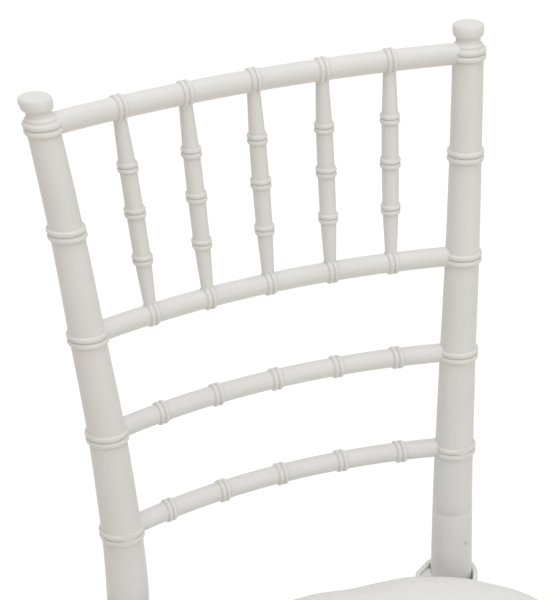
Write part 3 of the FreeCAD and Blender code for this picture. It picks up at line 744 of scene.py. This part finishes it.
def tapered_slab(name, low, high, rear_half, front_corner, rear_corner, steps):
    """A box narrowed towards its rear, with its four upright corners rounded."""
    piece = block(name, low, high)
    front_half = high[0]
    lean = math.atan((front_half - rear_half) / (high[1] - low[1]))
    choose_edges(piece, lambda first, second: first.y > 0 and second.y > 0)
    bpy.ops.transform.resize(value=(rear_half / front_half, 1, 1), center_override=(0, 0, 0))
    bpy.ops.object.mode_set(mode="OBJECT")
    front_reach = front_corner * math.tan((math.radians(90) + lean) / 2)
    rear_reach = rear_corner * math.tan((math.radians(90) - lean) / 2)
    round_edges(piece, lambda first, second: upright(first, second) and first.y < 0, front_reach, steps)
    round_edges(piece, lambda first, second: upright(first, second) and first.y > 50 and second.y > 50
                and abs(first.x) > rear_half - 1, rear_reach, steps)
    return piece


def pocket_boxes():
    """The plan boxes of the pockets: five rows of three, and one more on each side where there is room."""
    depth = (POCKETS_REAR - POCKETS_FRONT - 4 * DECK) / 5
    width = (2 * POCKETS_HALF - 2 * DECK) / 3
    boxes = []
    for row in range(5):
        low = POCKETS_FRONT + row * (depth + DECK)
        high = low + depth
        for column in range(3):
            left = -POCKETS_HALF + column * (width + DECK)
            boxes.append((left, low, left + width, high))
        if row in (0, 4):
            limit = (FRONT_LEG[0] if row == 0 else REAR_THIGH[0]) - CORNER_BLOCK
        else:
            share = (high - SEAT_FRONT) / (SEAT_REAR - SEAT_FRONT)
            limit = SEAT_FRONT_HALF - share * (SEAT_FRONT_HALF - SEAT_REAR_HALF) - DECK
        if limit - POCKETS_HALF > 3 * DECK:
            boxes.append((POCKETS_HALF + DECK, low, limit, high))
            boxes.append((-limit, low, -POCKETS_HALF - DECK, high))
    return boxes


seat = tapered_slab(
    "ribbed_seat", (-SEAT_FRONT_HALF, SEAT_FRONT, SEAT_UNDERSIDE), (SEAT_FRONT_HALF, SEAT_REAR, SEAT_TOP),
    SEAT_REAR_HALF, SEAT_FRONT_CORNER, SEAT_REAR_CORNER, 10,
)
round_edges(seat, at_level(SEAT_TOP), 4.0, 4)
round_edges(seat, at_level(SEAT_UNDERSIDE), 1.2, 2)
pocket_cutters = []
for left, low, right, high in pocket_boxes():
    cutter = block("pocket", (left, low, SEAT_UNDERSIDE - 3), (right, high, SEAT_TOP - DECK))
    round_edges(cutter, upright, 5.0, 3)
    round_edges(cutter, at_level(SEAT_TOP - DECK), 2.0, 2)
    pocket_cutters.append(cutter)
for side in (-1, 1):
    through = [mirrored(thigh_axis(height), side) for height in (SEAT_UNDERSIDE - 25, SEAT_TOP + 25)]
    pocket_cutters.append(round_bar("leg_hole", *through, LEG_HOLE, 48))
    blind = [mirrored((*FRONT_LEG, height), side) for height in (SEAT_UNDERSIDE - 15, PEG_TOP + 0.4)]
    pocket_cutters.append(round_bar("peg_hole", *blind, PEG_HOLE, 48))
bpy.ops.object.select_all(action="DESELECT")
for cutter in pocket_cutters:
    cutter.select_set(True)
bpy.context.view_layer.objects.active = pocket_cutters[0]
bpy.ops.object.join()
cut_away(seat, bpy.context.object)
finish_piece(seat, RESIN, "seat_frame")


# Glides: a grey plastic disc under each leg, with a rounded rim and a hollowed underside.
GLIDE_OUTLINE = (
    (0.5, 0.0), (0.5, 8.2), (0.1, 9.2), (0.0, 9.8), (0.0, 11.6), (0.3, 12.8), (1.0, 13.7), (1.9, 14.15),
    (2.8, 14.15), (3.5, 13.8), (4.0, 13.2), (4.0, 0.0),
)
GLIDE_PLASTIC = moulded(
    "grey_glide_plastic", (0.50, 0.50, 0.49), (0.44, 0.44, 0.43), (0.34, 0.34, 0.33), 0.52, 0.00008
)
glide_disc = turned("glide_disc", GLIDE_OUTLINE, 48)
for end, spot in (("front", FRONT_LEG), ("rear", REAR_SOLE[:2])):
    for name, side in (("left", -1), ("right", 1)):
        glide = copy_of(glide_disc, "glide_%s_%s" % (end, name))
        set_along(glide, mirrored((*spot, 0), side), mirrored((*spot, SOLE), side))
        finish_piece(glide, GLIDE_PLASTIC, "glides")
bpy.data.objects.remove(glide_disc)


# Lock screws: a small white-coated grub screw in each sleeve, sunk below the skin, with a hexagon socket.
def coated_steel():
    """White coated steel with fine turning marks and a little wear."""
    material = bpy.data.materials.new("coated_screw_steel")
    material.use_nodes = True
    tree = material.node_tree
    shader = tree.nodes["Principled BSDF"]
    shader.inputs["Roughness"].default_value = 0.38
    skin = add_node(tree, "Group", node_tree=SKIN)
    skin.inputs["Cloud Size"].default_value = 420
    skin.inputs["Grain Size"].default_value = 2400
    worn = add_ramp(tree, 0.35, (0.58, 0.575, 0.56), 0.6, (0.72, 0.715, 0.70))
    bare = add_node(tree, "MapRange", {"From Min": 0.6, "From Max": 0.35, "To Max": 0.25})
    bump = add_node(tree, "Bump", {"Strength": 0.4, "Distance": 0.00004})
    link(tree, skin.outputs["Tint"], worn.inputs["Fac"])
    link(tree, worn.outputs["Color"], shader.inputs["Base Color"])
    link(tree, skin.outputs["Tint"], bare.inputs["Value"])
    link(tree, bare.outputs["Result"], shader.inputs["Metallic"])
    link(tree, skin.outputs["Height"], bump.inputs["Height"])
    link(tree, bump.outputs["Normal"], shader.inputs["Normal"])
    return material


SCREW_STEEL = coated_steel()
for name, side in (("left", -1), ("right", 1)):
    skin, inward = screw_line(side)
    screw = round_bar("lock_screw_" + name, skin + inward * 0.15, skin + inward * 5.0, 1.97, 32)
    cut_away(screw, round_bar("socket", skin - inward * 1.0, skin + inward * 0.5, 0.7, 6))
    finish_piece(screw, SCREW_STEEL, "post_lock_screws")


# Straps: a flat white band of woven cloth, with folded edges, goes round each rear leg just above the seat.
# It is sewn to the cushion's rear corner, and its two layers meet in a short fold beside the leg, with
# some of the cloth tucked in between them.
STRAP_BASE, STRAP_WIDTH = 445.4, 17.0
STRAP_HALF_THICKNESS = 1.55
STRAP_HEM, STRAP_HEM_RISE = 2.6, 0.35
STRAP_PARTS = 111
TUCK_TOP = 461.2
TUCK_TIP, TUCK_ROOT = -27.0, -15.2
TUCK_FRONT, TUCK_BACK = -9.5, 11.3
TUCK_TIP_MIDDLE, TUCK_TIP_SHARE = 2.4, 0.2
# Places across and behind the leg's axis, from the seam on the cushion round the fold and the leg
STRAP_ROUTE = (
    (1.0, -32.5), (-4.3, -24.9), (-11.0, -17.0), (-17.4, -9.3), (-23.3, -3.6), (-27.8, -0.6), (-30.0, 1.7),
    (-28.3, 5.1), (-24.8, 7.5), (-21.1, 9.8), (-16.8, 12.9), (-12.0, 15.5), (-7.2, 17.9), (-0.5, 18.9),
    (8.0, 17.0), (14.1, 11.6), (17.5, 4.9), (18.0, -2.0), (17.0, -8.3), (14.4, -14.6), (10.8, -20.5),
    (7.4, -25.5), (5.1, -30.5), (4.2, -35.5),
)


def woven_threads():
    """A node group: a plain weave on flat cloth coordinates in metres, as a height and a fine tint."""
    tree = bpy.data.node_groups.new("woven_threads", "ShaderNodeTree")
    group_socket(tree, "Cloth", "INPUT", "NodeSocketVector")
    group_socket(tree, "Threads", "INPUT", "NodeSocketFloat", 1400.0)
    group_socket(tree, "Height", "OUTPUT", "NodeSocketFloat")
    group_socket(tree, "Tint", "OUTPUT", "NodeSocketFloat")
    entry = tree.nodes.new("NodeGroupInput")
    exit_ = tree.nodes.new("NodeGroupOutput")
    count = add_node(tree, "VectorMath", operation="SCALE")
    link(tree, entry.outputs["Cloth"], count.inputs[0])
    link(tree, entry.outputs["Threads"], count.inputs["Scale"])
    parts = add_node(tree, "SeparateXYZ")
    link(tree, count.outputs[0], parts.inputs[0])
    rounds, cells = [], []
    for axis in ("X", "Y"):
        turn = add_node(tree, "Math", {1: math.pi}, operation="MULTIPLY")
        wave = add_node(tree, "Math", operation="SINE")
        bead = add_node(tree, "Math", operation="ABSOLUTE")
        cell = add_node(tree, "Math", operation="FLOOR")
        link(tree, parts.outputs[axis], turn.inputs[0])
        link(tree, turn.outputs[0], wave.inputs[0])
        link(tree, wave.outputs[0], bead.inputs[0])
        link(tree, parts.outputs[axis], cell.inputs[0])
        rounds.append(bead)
        cells.append(cell)
    both = add_node(tree, "Math", operation="ADD")
    over = add_node(tree, "Math", {1: 1}, operation="PINGPONG")
    link(tree, cells[0].outputs[0], both.inputs[0])
    link(tree, cells[1].outputs[0], both.inputs[1])
    link(tree, both.outputs[0], over.inputs[0])
    height = add_node(tree, "Mix")
    link(tree, over.outputs[0], height.inputs["Factor"])
    link(tree, rounds[0].outputs[0], height.inputs["A"])
    link(tree, rounds[1].outputs[0], height.inputs["B"])
    slub = add_node(tree, "TexNoise", {"Scale": 260, "Detail": 3})
    link(tree, entry.outputs["Cloth"], slub.inputs["Vector"])
    link(tree, height.outputs["Result"], exit_.inputs["Height"])
    link(tree, slub.outputs["Fac"], exit_.inputs["Tint"])
    return tree


THREADS = woven_threads()


def cloth(name, light, dark, threads, roughness, depth, through, folds):
    """Woven cloth: a tint that drifts, threads in relief with painted shade between them, soft folds, and
    light that soaks through.
    """
    material = bpy.data.materials.new(name)
    material.use_nodes = True
    tree = material.node_tree
    shader = tree.nodes["Principled BSDF"]
    shader.inputs["Roughness"].default_value = roughness
    shader.inputs["Specular IOR Level"].default_value = 0.25
    shader.inputs["Sheen Weight"].default_value = 0.15
    shader.inputs["Sheen Roughness"].default_value = 0.5
    shader.inputs["Subsurface Weight"].default_value = through
    shader.inputs["Subsurface Radius"].default_value = (1, 1, 1)
    shader.inputs["Subsurface Scale"].default_value = 0.008
    flat = add_node(tree, "Attribute", attribute_name="cloth")
    weave = add_node(tree, "Group", node_tree=THREADS)
    weave.inputs["Threads"].default_value = threads
    tint = add_ramp(tree, 0.3, dark, 0.7, light)
    # Painted shade: the colour is multiplied darker where the weave is low, between the threads.
    gaps = add_node(tree, "Mix", {"B": (0.93, 0.93, 0.93, 1)}, data_type="RGBA", blend_type="MULTIPLY")
    low = add_node(tree, "MapRange", {"From Min": 0.45, "From Max": 0.0})
    bump = add_node(tree, "Bump", {"Strength": 0.5, "Distance": depth})
    link(tree, flat.outputs["Vector"], weave.inputs["Cloth"])
    link(tree, weave.outputs["Tint"], tint.inputs["Fac"])
    link(tree, tint.outputs["Color"], gaps.inputs["A"])
    link(tree, weave.outputs["Height"], low.inputs["Value"])
    link(tree, low.outputs["Result"], gaps.inputs["Factor"])
    link(tree, gaps.outputs["Result"], shader.inputs["Base Color"])
    rumple = add_node(tree, "TexNoise", {"Scale": 22, "Detail": 2, "Distortion": 0.6})
    soft = add_node(tree, "Bump", {"Strength": 1.0, "Distance": folds})
    link(tree, flat.outputs["Vector"], rumple.inputs["Vector"])
    link(tree, rumple.outputs["Fac"], soft.inputs["Height"])
    link(tree, soft.outputs["Normal"], bump.inputs["Normal"])
    link(tree, weave.outputs["Height"], bump.inputs["Height"])
    link(tree, bump.outputs["Normal"], shader.inputs["Normal"])
    return material


# Painted light: the strap's tone is lighter than the cushion cloth's, to brighten its shaded inner faces.
STRAP_CLOTH = cloth(
    "strap_cloth", (0.95, 0.945, 0.955), (0.93, 0.925, 0.935), 1250, 0.75, 0.00016, 0.85, 0.0004
)


def lay_cloth(piece, place=lambda vertex: vertex.co):
    """Store where each point of a piece lies on its flat cloth, in metres."""
    flat = piece.data.attributes.new("cloth", "FLOAT_VECTOR", "POINT")
    for index, vertex in enumerate(piece.data.vertices):
        flat.data[index].vector = place(vertex)


route_length = sum(math.dist(start, stop) for start, stop in zip(STRAP_ROUTE, STRAP_ROUTE[1:]))
strap_edge = STRAP_WIDTH / 2
flat_strap = block(
    "flat_strap", (0, -STRAP_HALF_THICKNESS, -strap_edge), (route_length, STRAP_HALF_THICKNESS, strap_edge)
)
for level in (STRAP_HEM - strap_edge, strap_edge - STRAP_HEM):
    bpy.ops.object.mode_set(mode="EDIT")
    bpy.ops.mesh.select_all(action="SELECT")
    bpy.ops.mesh.bisect(plane_co=(0, 0, level * MM), plane_no=(0, 0, 1))
    bpy.ops.object.mode_set(mode="OBJECT")
for way in (-1, 1):
    for end in (-1, 1):
        bpy.ops.object.mode_set(mode="EDIT")
        bpy.ops.mesh.select_mode(type="FACE")
        bpy.ops.mesh.select_all(action="DESELECT")
        bpy.ops.object.mode_set(mode="OBJECT")
        for face in flat_strap.data.polygons:
            middle = face.center / MM
            face.select = face.normal.y * way > 0.9 and middle.z * end > strap_edge - STRAP_HEM
        bpy.ops.object.mode_set(mode="EDIT")
        bpy.ops.mesh.extrude_region_move(TRANSFORM_OT_translate={"value": (0, way * STRAP_HEM_RISE * MM, 0)})
        bpy.ops.object.mode_set(mode="OBJECT")


def lengthwise(first, second):
    """True for an edge that runs along the strap."""
    return abs(first.x - second.x) > 1


def at_rim(first, second):
    """True for an edge that runs along one of the strap's two rims."""
    return lengthwise(first, second) and min(abs(first.z), abs(second.z)) > strap_edge - 0.1


round_edges(flat_strap, at_rim, 0.4, 2)
choose_edges(flat_strap, lengthwise)
bpy.ops.mesh.subdivide(number_cuts=STRAP_PARTS - 1)
bpy.ops.object.mode_set(mode="OBJECT")
lay_cloth(flat_strap, lambda vertex: (vertex.co.x, vertex.co.z, 0))
strap_middle = STRAP_BASE + strap_edge
axis = thigh_axis(strap_middle)
for name, side in (("left", -1), ("right", 1)):
    strap = copy_of(flat_strap, "sewn_strap_" + name)
    line = [mirrored((axis.x + across, axis.y + back, strap_middle), side) for across, back in STRAP_ROUTE]
    bend_along(strap, line)
    bpy.ops.object.select_all(action="DESELECT")
    strap.select_set(True)
    bpy.ops.object.shade_smooth_by_angle(angle=SHADE_ANGLE)
    finish_piece(strap, STRAP_CLOTH, "cushion_straps")
    tuck = block("strap_tuck_" + name, (TUCK_TIP, TUCK_FRONT, STRAP_BASE), (TUCK_ROOT, TUCK_BACK, TUCK_TOP))
    choose_edges(tuck, lambda first, second: max(first.x, second.x) < TUCK_TIP + 1)
    bpy.ops.transform.resize(value=(1, TUCK_TIP_SHARE, 1), center_override=(0, TUCK_TIP_MIDDLE * MM, 0))
    bpy.ops.object.mode_set(mode="OBJECT")
    round_edges(tuck, lambda first, second: first.z + second.z > 2 * STRAP_BASE, 1.3, 4)
    tuck.location = Vector((axis.x, axis.y, 0)) * MM
    apply_all(tuck)
    if side < 0:
        bpy.ops.object.mode_set(mode="EDIT")
        bpy.ops.mesh.select_all(action="SELECT")
        bpy.ops.transform.resize(value=(-1, 1, 1), center_override=(0, 0, 0))
        bpy.ops.mesh.normals_make_consistent(inside=False)
        bpy.ops.object.mode_set(mode="OBJECT")
    bpy.ops.object.shade_smooth_by_angle(angle=SHADE_ANGLE)
    lay_cloth(tuck)
    finish_piece(tuck, STRAP_CLOTH, "cushion_straps")
bpy.data.objects.remove(flat_strap)


# Cushion: a loose pad of foam in a smooth white cover, fuller in the middle than at its edges, drawn in
# below, with rounded corners that clear the rear legs. A thin welt is sewn round it near its lower edge.
CUSHION_BASE = 445.5
CUSHION_FRONT, CUSHION_REAR = -240.0, 153.5
CUSHION_FRONT_HALF, CUSHION_REAR_HALF = 203.0, 193.5
CUSHION_FRONT_CORNER, CUSHION_REAR_CORNER = 50.0, 142.0
CUSHION_START_TOP = 482.0
CUSHION_SHOULDER = 474.0
CUSHION_SWELL = 9.0
CUSHION_BOW, CUSHION_BOW_HALF = 8.0, 70.0
CUSHION_PRESSURE = 4
WELT_LEVEL, WELT_RADIUS = 452.5, 1.5
CUSHION_CLOTH = cloth(
    "cushion_cloth", (0.84, 0.845, 0.865), (0.815, 0.82, 0.84), 1500, 0.8, 0.0001, 0.0, 0.0012
)


def soft_cap(move, most):
    """A movement shortened so that it never passes a length."""
    length = move.length
    return move * (most * (1 - math.exp(-length / most)) / length) if length > 1e-9 else move


cushion = tapered_slab(
    "stuffed_cushion", (-CUSHION_FRONT_HALF, CUSHION_FRONT, CUSHION_BASE),
    (CUSHION_FRONT_HALF, CUSHION_REAR, CUSHION_START_TOP),
    CUSHION_REAR_HALF, CUSHION_FRONT_CORNER, CUSHION_REAR_CORNER, 16,
)
round_edges(cushion, at_level(CUSHION_START_TOP), 14.0, 6)
round_edges(cushion, at_level(CUSHION_BASE), 7.0, 4)
remesh = cushion.modifiers.new("voxels", "REMESH")
remesh.mode = "VOXEL"
remesh.voxel_size = 5 * MM
apply_all(cushion)
for vertex in cushion.data.vertices:
    middle = max(0.0, 1 - (vertex.co.x / (CUSHION_BOW_HALF * MM)) ** 2)
    vertex.co.y += CUSHION_BOW * MM * middle * max(0.0, vertex.co.y / (CUSHION_REAR * MM)) ** 4
start_shape = [vertex.co.copy() for vertex in cushion.data.vertices]
stuffing = cushion.modifiers.new("stuffing", "CLOTH")
stuffing.settings.use_pressure = True
stuffing.settings.uniform_pressure_force = CUSHION_PRESSURE
stuffing.settings.effector_weights.gravity = 0
for step in range(1, 21):
    bpy.context.scene.frame_set(step)
apply_all(cushion)
bpy.context.scene.frame_set(1)
for vertex, start in zip(cushion.data.vertices, start_shape):
    vertex.co = start + soft_cap(vertex.co - start, CUSHION_SWELL * MM)
    vertex.co.z = max(vertex.co.z, CUSHION_BASE * MM)
even = cushion.modifiers.new("even", "SMOOTH")
even.factor = 0.5
even.iterations = 14
full = cushion.modifiers.new("fuller", "SUBSURF")
full.levels = 1
full.render_levels = 1
apply_all(cushion)
bpy.ops.object.shade_smooth()


def spread_out(vertex):
    """A point of the cover laid flat: its sides fold outward from the shoulder, level with the top."""
    across = Vector((vertex.normal.x, vertex.normal.y, 0))
    drop = max(0.0, CUSHION_SHOULDER * MM - vertex.co.z) if across.length > 0.3 else 0.0
    return vertex.co + across.normalized() * drop if drop else vertex.co


lay_cloth(cushion, spread_out)
welt = copy_of(cushion, "sewn_welt")
bpy.ops.object.select_all(action="DESELECT")
welt.select_set(True)
bpy.context.view_layer.objects.active = welt
bpy.ops.object.mode_set(mode="EDIT")
bpy.ops.mesh.select_all(action="SELECT")
bpy.ops.mesh.bisect(
    plane_co=(0, 0, WELT_LEVEL * MM), plane_no=(0, 0, 1), clear_inner=True, clear_outer=True
)
bpy.ops.object.mode_set(mode="OBJECT")
bpy.ops.object.convert(target="CURVE")
welt.data.bevel_depth = WELT_RADIUS * MM
welt.data.bevel_resolution = 3
bpy.ops.object.convert(target="MESH")
bpy.ops.object.shade_smooth()
lay_cloth(welt)
for piece in (cushion, welt):
    finish_piece(piece, CUSHION_CLOTH, "seat_cushion", body="cushion")
